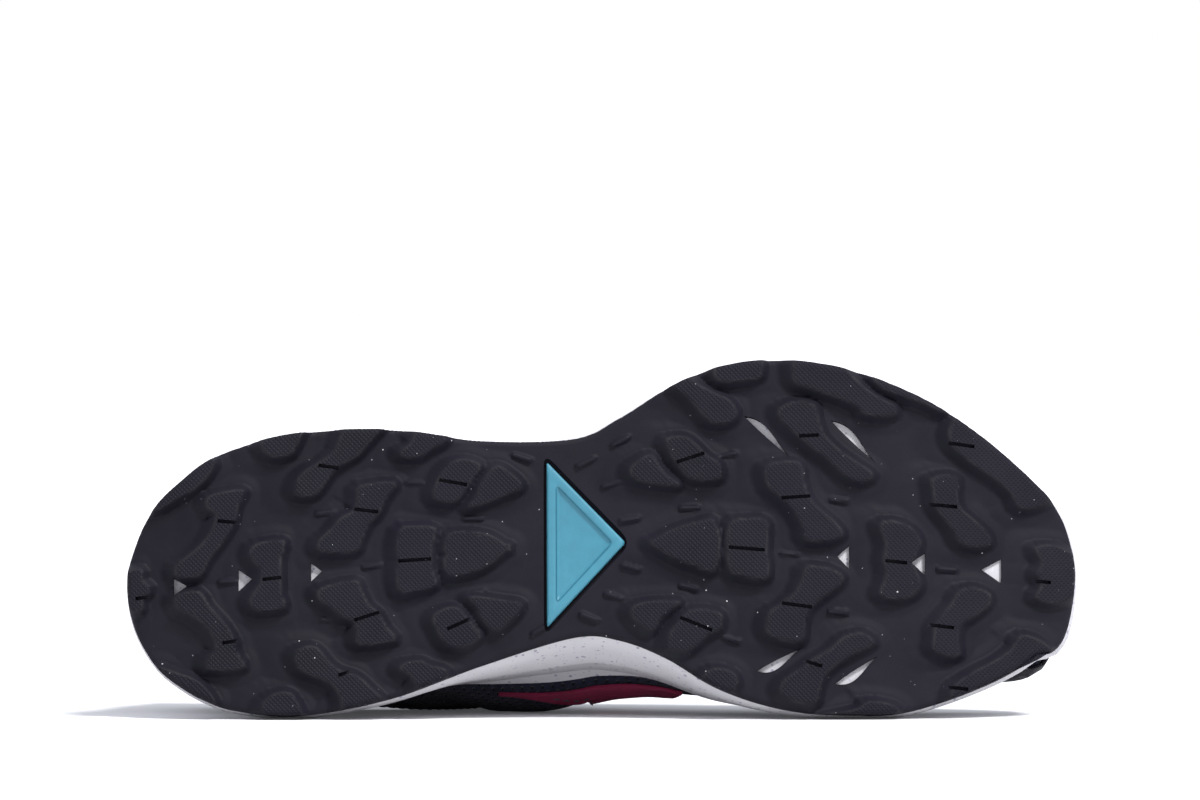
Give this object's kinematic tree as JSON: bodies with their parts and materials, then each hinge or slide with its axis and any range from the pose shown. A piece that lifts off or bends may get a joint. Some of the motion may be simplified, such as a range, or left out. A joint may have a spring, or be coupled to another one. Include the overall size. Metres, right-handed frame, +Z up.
{
  "type": "trail running shoe",
  "caption": "Right trail running shoe lying on its inner side, with a lugged rubber sole, cushioned foam midsole and open hollow upper with tongue.",
  "frame": {"origin": "centre of the bounding box, at the floor that the shoe lies on", "axes": "+X from heel to toe, -Y the way the sole faces, +Z up from the inner side to the outer side"},
  "size_m": [0.2926, 0.1546, 0.1101],
  "materials": {
    "rubber": "matte moulded, with fine light flecks",
    "insert": "satin",
    "foam": "matte foam with fine grey flecks",
    "mesh": "woven mesh",
    "lining": "knitted lining",
    "film": "thin moulded overlay",
    "crimson": "woven",
    "cord": "flat woven lace"
  },
  "bodies": {
    "root": {"outsole": "rubber", "arch_insert": "insert", "midsole": "foam", "insole": "lining", "upper": "mesh", "tongue": "mesh", "toe_cap": "film", "heel_counter": "film", "saddle_inner": "crimson", "saddle_outer": "crimson", "eyestay": "film", "heel_loop": "crimson", "lace_bar": "cord", "lace_cross_1": "cord", "lace_cross_2": "cord", "lace_cross_3": "cord", "lace_cross_4": "cord", "lace_cross_5": "cord"}
  },
  "joints": []
}
